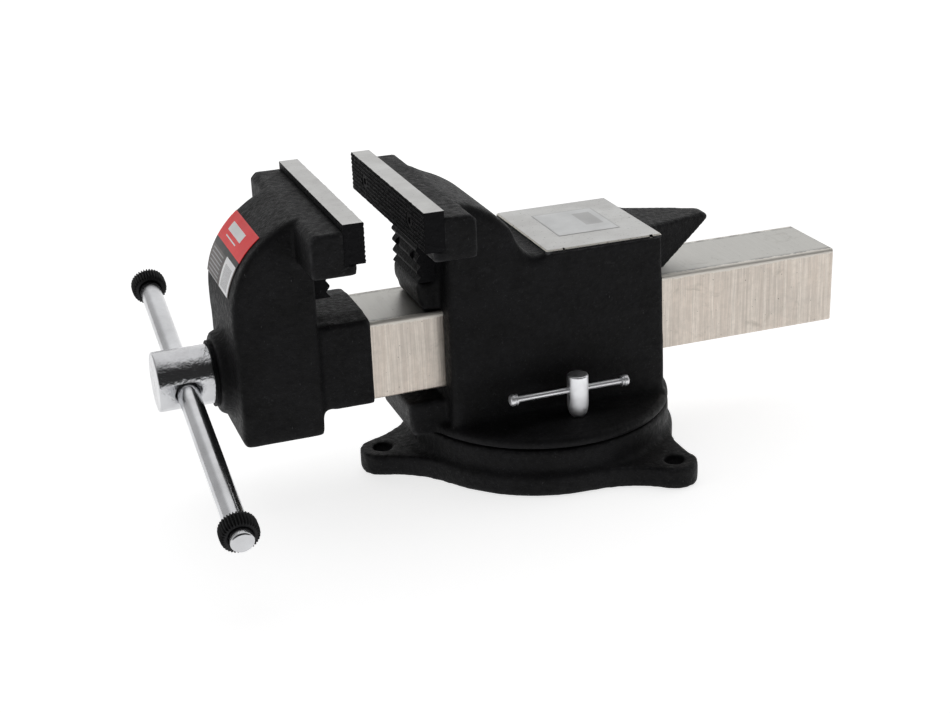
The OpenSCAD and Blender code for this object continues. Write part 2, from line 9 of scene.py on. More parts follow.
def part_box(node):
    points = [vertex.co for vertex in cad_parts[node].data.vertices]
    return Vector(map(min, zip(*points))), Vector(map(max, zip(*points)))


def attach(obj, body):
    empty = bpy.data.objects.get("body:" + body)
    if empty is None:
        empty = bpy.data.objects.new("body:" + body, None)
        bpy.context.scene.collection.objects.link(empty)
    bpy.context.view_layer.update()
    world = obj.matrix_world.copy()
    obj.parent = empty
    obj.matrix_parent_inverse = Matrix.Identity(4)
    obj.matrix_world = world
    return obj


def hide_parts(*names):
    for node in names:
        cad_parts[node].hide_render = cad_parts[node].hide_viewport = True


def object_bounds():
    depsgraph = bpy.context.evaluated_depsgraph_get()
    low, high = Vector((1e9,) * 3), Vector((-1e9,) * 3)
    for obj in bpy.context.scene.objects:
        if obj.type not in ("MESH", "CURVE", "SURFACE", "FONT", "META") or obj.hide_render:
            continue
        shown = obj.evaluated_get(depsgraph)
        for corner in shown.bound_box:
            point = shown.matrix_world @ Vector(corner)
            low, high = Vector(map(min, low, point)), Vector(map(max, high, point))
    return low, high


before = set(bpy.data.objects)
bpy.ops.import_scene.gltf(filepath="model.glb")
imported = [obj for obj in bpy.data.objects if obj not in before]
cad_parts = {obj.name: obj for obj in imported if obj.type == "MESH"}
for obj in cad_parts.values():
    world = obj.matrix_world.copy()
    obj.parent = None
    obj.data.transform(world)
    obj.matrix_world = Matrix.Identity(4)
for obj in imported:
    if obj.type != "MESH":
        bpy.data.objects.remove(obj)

MM = 0.001
cad_box = [list(corner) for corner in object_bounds()]

# ---------------------------------------------------------------------------
# Sizes that the looks share with the CAD part, in millimetres; angles in degrees
# ---------------------------------------------------------------------------
BODY_W = 88.0
ANVIL_LENGTH = 78.0
SHOULDER_R = 61.0
SHOULDER_BACK = 12.0
SHOULDER_Z = 127.54
COLUMN_HALF = 38.0
COLUMN_EDGE = 3.0
PLATE_SCREW_PITCH = 92.0
SCREW_Z = 84.0
SCREW_D = 24.0
SCREW_LEAD = 6.0
HEAD_D = 37.0
HEAD_L = 34.0
HANDLE_TILT = 13.0
HANDLE_D = 13.5
RING_D = 22.5
RING_W = 10.5
LOCK_HEAD_D = 13.5
LOCK_D = 8.0
LOCK_BAR_D = 4.0
LOCK_CAP_L = 5.0

# ---------------------------------------------------------------------------
# Sizes and settings of the looks alone; lengths in millimetres, angles in degrees
# ---------------------------------------------------------------------------
# castings: voxel of the remesh, passes that soften the edges, and depth and fineness of the
# uneven skin, in cells of noise per metre
VOXEL = 1.4
SKIN_PASSES = 5
SKIN_DENT = 0.22
SKIN_WAVES = 70
SKIN_GRAINS = 160

# castings: places whose edges stay sharper, and how much of that the jaw blocks keep
SEAT_MARGIN = 3.0
BLOCK_MARGIN = 2.0
BLOCK_DEPTH = 33
BLOCK_CRISP = 0.9
CRISP_FADE = 1.5

# castings: places that are rounded more, each (passes, low corner, high corner, margin)
FIXED_NECK = (40, (-60, -50, 140), (-14, 50, 190), 5)
FIXED_LEDGE = (12, (-88, -28, 112), (-80, 28, 129), 3)
COLUMN_FOOT = (16, (-206, -40, 44), (-150, 40, 58), 6)
SCREW_BOSS = (18, (-216, -34, 56), (-202, 34, 112), 4)
SHOULDER_SIDE = (22, (-180, -42, 168), (-170, -35, 182), 5)
COLLAR_ROOT = (14, (-157, -40, 58), (-149, -30, 118), 4)

# anvil: thickness of the ground slab, drop of the casting below it, rounding of its upright
# corners, its broken top edge, and nicks in the near edge, each (share of the length, width)
ANVIL_SLAB = 2.4
ANVIL_CUT = 0.9
ANVIL_CORNER = 1.5
ANVIL_BREAK = 0.8
ANVIL_NICKS = ((0.14, 1.2), (0.89, 2.2))

# jaw plates: teeth, how far the plate goes into its seat, and holes for its screws
TOOTH_PITCH = 2.6
TOOTH_DEPTH = 1.0
PLATE_TUCK = 1.0
RECESS_R = 5.3
RECESS_DEPTH = 8.0
SCREW_HOLE_R = 3.3
SCREW_HOLE_DEPTH = 16.0

# label and film: cells across and along, ends of the label at its top and foot, its angles on
# the shoulder, how far it stands off, and thicknesses
LABEL_CELLS = (60, 48)
LABEL_TOP_Y = (-29.5, 32.5)
LABEL_LOW_Y = (-24.5, 36.6)
LABEL_ANGLE = 10.5
LABEL_SWEEP = 39.8
LABEL_LIFT = 0.30
LABEL_THICK = 0.15
FILM_CELLS = (42, 47)
FILM_TUCK = 0.02
FILM_THICK = 0.12

# lead screw and its head: cross hole with its countersink, thread and plain journal
HEAD_HOLE_GAP = 0.35
HEAD_FLARE = 1.6
HEAD_SINK = 3.0
THREAD_DEPTH = 2.6
SCREW_JOURNAL = 86.0

# handle, 0.1 mm shorter than in the CAD part so that its ends stay inside the CAD box, and rings
HANDLE_L = 278.9
HANDLE_ROUND = 1.6
RING_RIBS = 36
RING_RIB_D = 2.0

# lock bolts: height where the head starts, length and steps of its rounded foot, gap round the
# cross bar, and caps a little thicker than in the CAD part
LOCK_FOOT = 40.5
LOCK_ROUND = 9.0
FOOT_STEPS = 8
RUN_GAP = 0.15
LOCK_CAP_D = 7.2

# ends of turned shapes: the rounding of a sharp one, and the steps of every rounding
SHARP = 0.01
ROUND_STEPS = 5

# ---------------------------------------------------------------------------
# Light and camera; lengths in metres, angles in degrees and the lens in millimetres
# ---------------------------------------------------------------------------
FLOOR_GLOW = 0.76
FLOOR_REACH = 30.0
SKY_BRIGHT = 1.0
LEFT_SHARE = 0.55
ROOM_DARK = 0.035
FRONT_FALL = (-0.45, 0.10)
LEFT_FALL = (-0.50, -0.10)
CAMERA_ANGLES = (-19.17, 22.13, -2.23)
CAMERA_LENS = 61.27
CAMERA_PLACE = (-0.3606, -0.9146, 0.4592)


# ---------------------------------------------------------------------------
# Node helpers
# ---------------------------------------------------------------------------
class Paint:
    """A material with short calls for the nodes that the finishes share."""

    def __init__(self, name, colour, rough, metal=0.0, spec=0.5):
        self.mat = bpy.data.materials.new(name)
        self.mat.use_nodes = True
        self.tree = self.mat.node_tree
        self.shader = self.tree.nodes["Principled BSDF"]
        self.shader.inputs["Base Color"].default_value = (*colour, 1.0)
        self.shader.inputs["Roughness"].default_value = rough
        self.shader.inputs["Metallic"].default_value = metal
        self.shader.inputs["Specular IOR Level"].default_value = spec
        self.coords = self.node("ShaderNodeTexCoord").outputs["Object"]

    def node(self, kind, **settings):
        made = self.tree.nodes.new(kind)
        for key, value in settings.items():
            setattr(made, key, value)
        return made

    def link(self, out, into):
        self.tree.links.new(out, into)

    def stretched(self, scale):
        """Object coordinates scaled by a different amount along each axis."""
        mapping = self.node("ShaderNodeMapping")
        mapping.inputs["Scale"].default_value = scale
        self.link(self.coords, mapping.inputs["Vector"])
        return mapping.outputs["Vector"]

    def noise(self, scale, detail=2.0, rough=0.5, vector=None, warp=0.0):
        made = self.node("ShaderNodeTexNoise")
        made.inputs["Scale"].default_value = scale
        made.inputs["Detail"].default_value = detail
        made.inputs["Roughness"].default_value = rough
        made.inputs["Distortion"].default_value = warp
        self.link(vector or self.coords, made.inputs["Vector"])
        return made.outputs["Fac"]

    def band(self, value, low, high, out_low=0.0, out_high=1.0):
        """Maps value from low..high to out_low..out_high, clamped."""
        made = self.node("ShaderNodeMapRange")
        made.inputs["From Min"].default_value = low
        made.inputs["From Max"].default_value = high
        made.inputs["To Min"].default_value = out_low
        made.inputs["To Max"].default_value = out_high
        self.link(value, made.inputs["Value"])
        return made.outputs["Result"]

    def math(self, kind, a, b):
        made = self.node("ShaderNodeMath", operation=kind)
        for socket, value in zip(made.inputs, (a, b)):
            if isinstance(value, (int, float)):
                socket.default_value = value
            else:
                self.link(value, socket)
        return made.outputs["Value"]

    def mix(self, factor, a, b):
        """Blend of two colours; each is a colour or the output of a node."""
        made = self.node("ShaderNodeMix", data_type="RGBA")
        self.link(factor, made.inputs["Factor"])
        for socket, value in ((made.inputs[6], a), (made.inputs[7], b)):
            if isinstance(value, tuple):
                socket.default_value = (*value, 1.0)
            else:
                self.link(value, socket)
        return made.outputs[2]

    def bump(self, height, distance, strength, under=None):
        made = self.node("ShaderNodeBump")
        made.inputs["Strength"].default_value = strength
        made.inputs["Distance"].default_value = distance
        self.link(height, made.inputs["Height"])
        if under:
            self.link(under, made.inputs["Normal"])
        return made.outputs["Normal"]

    def edges(self, low, high):
        """1 on outward edges of a dense mesh, 0 on flat faces."""
        geometry = self.node("ShaderNodeNewGeometry")
        return self.band(geometry.outputs["Pointiness"], low, high)

    def wear(self, colour, rough, normal=None):
        """Links the finished outputs to the shader and gives the material."""
        self.link(colour, self.shader.inputs["Base Color"])
        self.link(rough, self.shader.inputs["Roughness"])
        if normal:
            self.link(normal, self.shader.inputs["Normal"])
        return self.mat


def black_casting():
    """Sand-cast iron under thin satin black paint, with grey scuffs, and convex edges lightened partly as
    wear and partly as a painted highlight.
    """
    p = Paint("black_casting", (0.006, 0.006, 0.0065), 0.55, spec=0.14)
    grains = p.noise(1300, 3, 0.65)
    lumps = p.noise(300, 3, 0.6)
    waves = p.noise(45, 2)
    scuff = p.band(p.noise(150, 7, 0.75, warp=0.8), 0.62, 0.70)
    dust = p.band(p.noise(900, 3, 0.75), 0.60, 0.72)
    scratch = p.band(p.noise(1.0, 3, 0.6, p.stretched((900, 110, 260))), 0.70, 0.76)
    # convex edges: partly wear and partly a painted highlight
    edge = p.math("MULTIPLY", p.edges(0.525, 0.58), p.band(p.noise(140, 5, 0.7), 0.38, 0.58))
    base = p.mix(p.band(waves, 0.35, 0.65), (0.0036, 0.0036, 0.0040), (0.0070, 0.0070, 0.0080))
    base = p.mix(p.math("MULTIPLY", scuff, 0.20), base, (0.080, 0.080, 0.086))
    base = p.mix(p.math("MULTIPLY", dust, 0.50), base, (0.050, 0.050, 0.055))
    base = p.mix(p.math("MULTIPLY", scratch, 0.35), base, (0.140, 0.140, 0.145))
    # lighter convex edges, partly wear and partly painted highlight
    base = p.mix(p.math("MULTIPLY", edge, 0.75), base, (0.095, 0.095, 0.100))
    rough = p.band(lumps, 0.3, 0.7, 0.44, 0.68)
    normal = p.bump(waves, 0.0012, 0.35)
    normal = p.bump(lumps, 0.0010, 0.65, normal)
    normal = p.bump(grains, 0.00040, 0.80, normal)
    return p.wear(base, rough, normal)


def ground_steel():
    """Ground bar: fine marks across it, warm sides, a top painted greyer and darker as painted shade, long
    top edges painted bright as a painted highlight with a darker band just inside them, and smudges.
    """
    p = Paint("ground_steel", (0.60, 0.56, 0.50), 0.36, metal=1.0)
    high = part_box("slide_bar")[1]
    split = p.node("ShaderNodeSeparateXYZ")
    p.link(p.coords, split.inputs["Vector"])
    across = p.math("ABSOLUTE", split.outputs["Y"], 0.0)
    # distance from the bar's long top edge, measured down the side and in over the top
    inward = p.math("SUBTRACT", high.y + high.z, p.math("ADD", across, split.outputs["Z"]))
    # upward is 1 on the top face only
    upward = p.band(split.outputs["Z"], high.z - 0.9 * MM, high.z - 0.2 * MM)
    nibble = p.noise(90, 5, 0.7)
    ragged = p.math("ADD", inward, p.band(nibble, 0.35, 0.65, -0.5 * MM, 0.9 * MM))
    # painted highlight: corner is 1 on a ragged strip along the long top edges, painted bright and made
    # less metallic below
    corner = p.band(ragged, 2.9 * MM, 3.6 * MM, 1.0, 0.0)
    # a darker band on the top, just inside the long edges, patchy along its length
    inner_band = p.math("MULTIPLY", p.band(ragged, 3.4 * MM, 6.5 * MM, 1.0, 0.0), p.band(nibble, 0.40, 0.60))
    inner_band = p.math("MULTIPLY", inner_band, upward)
    marks = p.noise(1.0, 4, 0.65, p.stretched((2200, 45, 45)))
    streaks = p.noise(1.0, 4, 0.6, p.stretched((520, 12, 12)))
    clouds = p.noise(26, 5, 0.6, warp=0.8)
    mottle = p.noise(300, 4, 0.65)
    smudge = p.band(p.noise(70, 6, 0.65, warp=1.2), 0.57, 0.74)
    pits = p.band(p.noise(520, 1, 0.5), 0.75, 0.79)
    colour = p.mix(p.band(clouds, 0.36, 0.66), (0.72, 0.635, 0.56), (0.57, 0.515, 0.465))
    colour = p.mix(p.band(streaks, 0.42, 0.66, 0.0, 0.75), colour, (0.88, 0.81, 0.73))
    colour = p.mix(p.band(marks, 0.38, 0.62, 0.50, 0.0), colour, (0.38, 0.34, 0.30))
    colour = p.mix(p.band(mottle, 0.40, 0.62, 0.0, 0.25), colour, (0.42, 0.385, 0.34))
    # painted shade: the top face greyer and darker than the sides
    colour = p.mix(p.math("MULTIPLY", upward, 0.85), colour, (0.46, 0.46, 0.44))
    colour = p.mix(p.math("MULTIPLY", smudge, 0.40), colour, (0.22, 0.20, 0.17))
    colour = p.mix(p.math("MULTIPLY", pits, 0.8), colour, (0.09, 0.08, 0.07))
    # the darker band just inside the long top edges
    colour = p.mix(p.math("MULTIPLY", inner_band, 0.85), colour, (0.07, 0.065, 0.06))
    # painted highlight along the long top edges
    colour = p.mix(p.math("MULTIPLY", corner, 0.9), colour, (0.86, 0.82, 0.75))
    p.link(p.band(corner, 0.0, 1.0, 1.0, 0.35), p.shader.inputs["Metallic"])
    rough = p.band(marks, 0.3, 0.7, 0.28, 0.50)
    normal = p.bump(marks, 0.00014, 0.7)
    return p.wear(colour, rough, normal)


def bare_edge_and_highlight():
    """Freshly broken edge of the anvil: bare steel, painted brighter and less metallic than the ground top
    as a painted highlight along the edge.
    """
    p = Paint("bare_edge_and_highlight", (0.78, 0.75, 0.68), 0.45, metal=0.35)
    nicks = p.band(p.noise(420, 4, 0.7), 0.56, 0.66)
    return p.wear(p.mix(nicks, (0.78, 0.75, 0.68), (0.30, 0.28, 0.25)), p.band(nicks, 0.0, 1.0, 0.40, 0.60))


def ground_top():
    """Freshly ground tops of the jaw plates and of the anvil."""
    p = Paint("ground_top", (0.50, 0.50, 0.49), 0.42, metal=1.0)
    marks = p.noise(1.0, 4, 0.65, p.stretched((55, 2400, 55)))
    clouds = p.noise(40, 4, 0.6)
    pits = p.band(p.noise(700, 2, 0.6), 0.66, 0.72)
    colour = p.mix(p.band(clouds, 0.3, 0.7), (0.58, 0.58, 0.57), (0.46, 0.455, 0.445))
    colour = p.mix(p.math("MULTIPLY", pits, 0.8), colour, (0.12, 0.12, 0.12))
    rough = p.band(marks, 0.3, 0.7, 0.34, 0.52)
    return p.wear(colour, rough, p.bump(marks, 0.00012, 0.6))


def black_plate():
    """Hardened jaw steel, blackened, with bright specks on the teeth."""
    p = Paint("black_plate", (0.006, 0.006, 0.007), 0.6, spec=0.09)
    grain = p.noise(800, 4, 0.65)
    speck = p.band(p.noise(420, 5, 0.7), 0.60, 0.72)
    colour = p.mix(p.math("MULTIPLY", speck, 0.35), (0.005, 0.005, 0.006), (0.070, 0.070, 0.076))
    normal = p.bump(p.noise(260, 4, 0.7), 0.0014, 0.8)
    return p.wear(colour, p.band(grain, 0.3, 0.7, 0.50, 0.70), p.bump(grain, 0.0003, 0.6, normal))


def plated(name, tone, dull, lumps):
    """Bright plating of a grey tone; dull is its roughness and lumps the unevenness below."""
    bright = (tone, tone * 1.01, tone * 1.035)
    shade = (tone * 0.80, tone * 0.80, tone * 0.82)
    p = Paint(name, bright, dull, metal=1.0)
    uneven = p.noise(150, 4, 0.65, warp=0.6)
    orange_peel = p.noise(620, 2, 0.6)
    haze = p.noise(34, 4, 0.6)
    lines = p.noise(1.0, 3, 0.6, p.stretched((900, 60, 900)))
    colour = p.mix(p.band(haze, 0.35, 0.7), bright, shade)
    rough = p.band(haze, 0.3, 0.75, dull * 0.75, dull * 1.35)
    normal = p.bump(uneven, 0.0008, lumps)
    normal = p.bump(orange_peel, 0.00012, lumps, normal)
    normal = p.bump(lines, 0.00003, 0.25, normal)
    return p.wear(colour, rough, normal)


def oiled_steel():
    """Machined steel of hidden pieces, with a film of oil."""
    p = Paint("oiled_steel", (0.30, 0.30, 0.30), 0.38, metal=1.0)
    marks = p.noise(900, 3, 0.6)
    colour = p.mix(p.band(p.noise(90, 4), 0.35, 0.65), (0.34, 0.34, 0.34), (0.20, 0.19, 0.18))
    return p.wear(colour, p.band(marks, 0.3, 0.7, 0.30, 0.46), p.bump(marks, 0.00005, 0.4))


def nut_bronze():
    p = Paint("nut_bronze", (0.46, 0.33, 0.16), 0.4, metal=1.0)
    marks = p.noise(700, 3, 0.6)
    colour = p.mix(p.band(p.noise(60, 4), 0.35, 0.65), (0.50, 0.36, 0.17), (0.34, 0.24, 0.12))
    return p.wear(colour, p.band(marks, 0.3, 0.7, 0.32, 0.50), p.bump(marks, 0.00006, 0.4))


def ring_rubber():
    p = Paint("ring_rubber", (0.010, 0.010, 0.011), 0.62, spec=0.30)
    grain = p.noise(1400, 3, 0.6)
    dust = p.band(p.noise(260, 4, 0.7), 0.58, 0.75)
    colour = p.mix(p.math("MULTIPLY", dust, 0.4), (0.010, 0.010, 0.011), (0.045, 0.045, 0.047))
    return p.wear(colour, p.band(grain, 0.3, 0.7, 0.55, 0.75), p.bump(grain, 0.0001, 0.4))


def film(name, colour, other, rough=0.32, metal=0.0):
    """Printed label film with faint wrinkles and uneven ink."""
    p = Paint(name, colour, rough, metal, spec=0.22)
    ink = p.band(p.noise(55, 4, 0.6), 0.35, 0.65)
    wrinkle = p.noise(60, 2, 0.5)
    return p.wear(p.mix(ink, colour, other), p.band(wrinkle, 0.3, 0.7, rough, rough + 0.14),
                  p.bump(wrinkle, 0.0004, 0.25))


# ---------------------------------------------------------------------------
# Mesh helpers
# ---------------------------------------------------------------------------
def add_object(name, mesh, *materials):
    made = bpy.data.objects.new(name, mesh)
    bpy.context.scene.collection.objects.link(made)
    for m in materials:
        mesh.materials.append(m)
    return made


def mesh_of(name, points, faces):
    mesh = bpy.data.meshes.new(name)
    mesh.from_pydata([tuple(p) for p in points], [], faces)
    mesh.validate()
    return mesh


def settle(obj):
    """Applies the modifiers of obj to its mesh."""
    bpy.context.view_layer.update()
    graph = bpy.context.evaluated_depsgraph_get()
    mesh = bpy.data.meshes.new_from_object(obj.evaluated_get(graph))
    obj.modifiers.clear()
    obj.data = mesh


def smooth_by_angle(obj, degrees):
    """Smooth shading with sharp edges above an angle."""
    mesh = obj.data
    bm = bmesh.new()
    bm.from_mesh(mesh)
    for face in bm.faces:
        face.smooth = True
    for edge in bm.edges:
        edge.smooth = len(edge.link_faces) == 2 and edge.calc_face_angle() < math.radians(degrees)
    bm.to_mesh(mesh)
    bm.free()
    return obj


def lathe(name, profile, origin, along, segments):
    """Turns (radius, height) points in millimetres round the axis along, from origin."""
    turn = Vector(along).to_track_quat("Z", "X").to_matrix()
    points, rows = [], []
    for radius, height in profile:
        if radius < 1e-6:
            rows.append([len(points)])
            points.append(origin + turn @ Vector((0, 0, height * MM)))
            continue
        rows.append(list(range(len(points), len(points) + segments)))
        for i in range(segments):
            a = 2 * math.pi * i / segments
            ring = Vector((radius * math.cos(a) * MM, radius * math.sin(a) * MM, height * MM))
            points.append(origin + turn @ ring)
    faces = []
    for low, high in zip(rows, rows[1:]):
        for i in range(segments):
            j = (i + 1) % segments
            corners = [low[i % len(low)], low[j % len(low)], high[j % len(high)], high[i % len(high)]]
            faces.append([c for k, c in enumerate(corners) if c not in corners[:k]])
    made = add_object(name, mesh_of(name, points, faces))
    return smooth_by_angle(made, 35)


def round_corner(r, h, size, quarter):
    """Points of a quarter circle at the corner (r, h) of a profile.

    quarter 0 ends a rising flank outside, 1 starts a falling end; both bulge outwards."""
    turns = {0: (-90, 0), 1: (0, 90)}[quarter]
    centre_h = h + size if quarter == 0 else h - size
    arc = [math.radians(turns[0] + (turns[1] - turns[0]) * i / ROUND_STEPS)
           for i in range(ROUND_STEPS + 1)]
    return [(r - size + size * math.cos(a), centre_h + size * math.sin(a)) for a in arc]


def rod_profile(radius, length, low_round, high_round):
    """Profile of a rod with rounded ends."""
    outer = round_corner(radius, 0, low_round, 0) + round_corner(radius, length, high_round, 1)
    return [(0, 0)] + outer + [(0, length)]


def painted(obj, paint):
    """Gives the whole object one material."""
    obj.data.materials.clear()
    obj.data.materials.append(paint)
    return obj


def finish_piece(obj, body, slot, *nodes):
    """Rides obj on its body and hides the CAD nodes it stands for; slot is not used."""
    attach(obj, body)
    if nodes:
        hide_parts(*nodes)
    return obj


def cut(obj, cutter):
    """Subtracts cutter from obj and removes it."""
    step = obj.modifiers.new("cut", "BOOLEAN")
    step.operation = "DIFFERENCE"
    step.solver = "EXACT"
    step.object = cutter
    settle(obj)
    bpy.data.objects.remove(cutter)


def copy_of(node, name):
    """A copy of a CAD node's mesh as a new object with welded corners."""
    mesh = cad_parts[node].data.copy()
    mesh.name = name
    mesh.materials.clear()
    bm = bmesh.new()
    bm.from_mesh(mesh)
    bmesh.ops.remove_doubles(bm, verts=bm.verts, dist=1e-6)
    bm.to_mesh(mesh)
    bm.free()
    mesh.update()
    return add_object(name, mesh)


# ---------------------------------------------------------------------------
# Castings
# ---------------------------------------------------------------------------
def box_weight(points, low, high, margin):
    """1 inside a box, falling to 0 at margin outside it; all in millimetres."""
    away = np.maximum(np.array(low) - points / MM, points / MM - np.array(high)).max(axis=1)
    return np.clip(1.0 - away / margin, 0.0, 1.0)


def points_of(mesh):
    points = np.empty(len(mesh.vertices) * 3)
    mesh.vertices.foreach_get("co", points)
    return points.reshape(-1, 3)


def soften(points, pairs, passes, weight):
    """Moves each point towards the middle of its neighbours, by its weight."""
    ends = np.concatenate((pairs, pairs[:, ::-1]))
    count = np.maximum(np.bincount(ends[:, 0], minlength=len(points)), 1)
    share = 0.5 * weight
    for _ in range(passes):
        for axis in range(3):
            middle = np.bincount(ends[:, 0], points[ends[:, 1], axis], len(points)) / count
            points[:, axis] += share * (middle - points[:, axis])


def casting(node, name, body, crisp=(), soft=()):
    """A sand casting: the CAD shape with soft edges and a slightly uneven skin.

    crisp lists boxes whose edges stay sharper, each (low, high, share kept), and soft lists
    regions that are rounded more, each (passes, low, high, margin)."""
    made = copy_of(node, name)
    remesh = made.modifiers.new("remesh", "REMESH")
    remesh.mode = "VOXEL"
    remesh.voxel_size = VOXEL * MM
    settle(made)
    mesh = made.data
    points = points_of(mesh)
    pairs = np.empty(len(mesh.edges) * 2, dtype=np.int32)
    mesh.edges.foreach_get("vertices", pairs)
    pairs = pairs.reshape(-1, 2)
    skin = np.ones(len(points))
    for low, high, share in crisp:
        skin = np.minimum(skin, 1.0 - share * box_weight(points, low, high, CRISP_FADE))
    soften(points, pairs, SKIN_PASSES, skin)
    for passes, low, high, margin in soft:
        soften(points, pairs, passes, box_weight(points, low, high, margin))
    mesh.vertices.foreach_set("co", points.ravel())
    mesh.update()
    for v in mesh.vertices:
        dent = noise.noise(v.co * SKIN_WAVES) + 0.5 * noise.noise(v.co * SKIN_GRAINS)
        points[v.index] -= np.array(v.normal) * SKIN_DENT * MM * (0.5 + 0.33 * dent)
    mesh.vertices.foreach_set("co", points.ravel())
    mesh.polygons.foreach_set("use_smooth", [True] * len(mesh.polygons))
    mesh.update()
    return finish_piece(painted(made, BLACK), body, "black_casting", node)


def seat_of(node, margin):
    """Crisp seat round a jaw plate, grown by margin."""
    low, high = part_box(node)
    return [c / MM - margin for c in low], [c / MM + margin for c in high], 1.0


def block_of(node, depth):
    """Jaw block behind a plate; depth is its signed length along x."""
    low, high, _ = seat_of(node, BLOCK_MARGIN)
    return [low[0] + min(depth, 0), *low[1:]], [high[0] + max(depth, 0), *high[1:]], BLOCK_CRISP


def both_sides(passes, low, high, margin):
    """A soft region and its mirror image across the vise; low and high are on the near side."""
    mirrored = (passes, (low[0], -high[1], low[2]), (high[0], -low[1], high[2]), margin)
    return [(passes, low, high, margin), mirrored]


def lower_anvil(body_piece):
    """Drops the casting a little under the ground anvil slab."""
    low, high = anvil_corners()
    for v in body_piece.data.vertices:
        inside = low.x - 1 * MM < v.co.x < high.x + 1 * MM and abs(v.co.y) < high.y + 1 * MM
        if inside and v.co.z > high.z - 1.2 * MM:
            v.co.z -= ANVIL_CUT * MM


def anvil_corners():
    """Lowest and highest corner of the anvil slab."""
    low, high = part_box("anvil_label")
    half_l, half_w = ANVIL_LENGTH / 2 * MM, BODY_W / 2 * MM
    middle_x = (low.x + high.x) / 2
    top = (low.z + high.z) / 2
    return (Vector((middle_x - half_l, -half_w, top - ANVIL_SLAB * MM)),
            Vector((middle_x + half_l, half_w, top)))


def block(name, low, high):
    """A box mesh between two corners."""
    points = [(x, y, z) for x in (low[0], high[0]) for y in (low[1], high[1]) for z in (low[2], high[2])]
    faces = [(0, 1, 3, 2), (4, 6, 7, 5), (0, 4, 5, 1), (2, 3, 7, 6), (0, 2, 6, 4), (1, 5, 7, 3)]
    return add_object(name, mesh_of(name, points, faces))


def anvil_face():
    """The ground top of the anvil: a slab with a broken edge painted bright as a highlight, and two small
    nicks.
    """
    low, high = anvil_corners()
    made = block("anvil_face", low, high)
    bm = bmesh.new()
    bm.from_mesh(made.data)
    upright = [e for e in bm.edges if abs(e.verts[0].co.z - e.verts[1].co.z) > 1e-6]
    bmesh.ops.bevel(bm, geom=upright, offset=ANVIL_CORNER * MM, segments=4, affect="EDGES", profile=0.5)
    top = [e for e in bm.edges if all(v.co.z > high.z - 1e-6 for v in e.verts)]
    bmesh.ops.bevel(bm, geom=top, offset=ANVIL_BREAK * MM, segments=1, affect="EDGES", profile=0.5)
    bmesh.ops.recalc_face_normals(bm, faces=bm.faces)
    bm.to_mesh(made.data)
    bm.free()
    for share, width in ANVIL_NICKS:
        x = low.x + share * (high.x - low.x)
        corner = (x, low.y - MM, high.z - 1.6 * MM)
        cut(made, block("nick", corner, (x + width * MM, low.y + 1.5 * MM, high.z + MM)))
    mesh = made.data
    mesh.materials.clear()
    for m in (GROUND_TOP, BARE_EDGE_AND_HIGHLIGHT, BLACK):
        mesh.materials.append(m)
    for polygon in mesh.polygons:
        # sloping faces of the broken edge get the bright paint that stands in for its highlight
        up = polygon.normal.z
        level = up > 0.98 and polygon.center.z > high.z - 0.01 * MM
        sloping = up > 0.3
        polygon.material_index = 0 if level else 1 if sloping else 2
    smooth_by_angle(made, 30)
    return finish_piece(made, "fixed_jaw", "ground_steel")


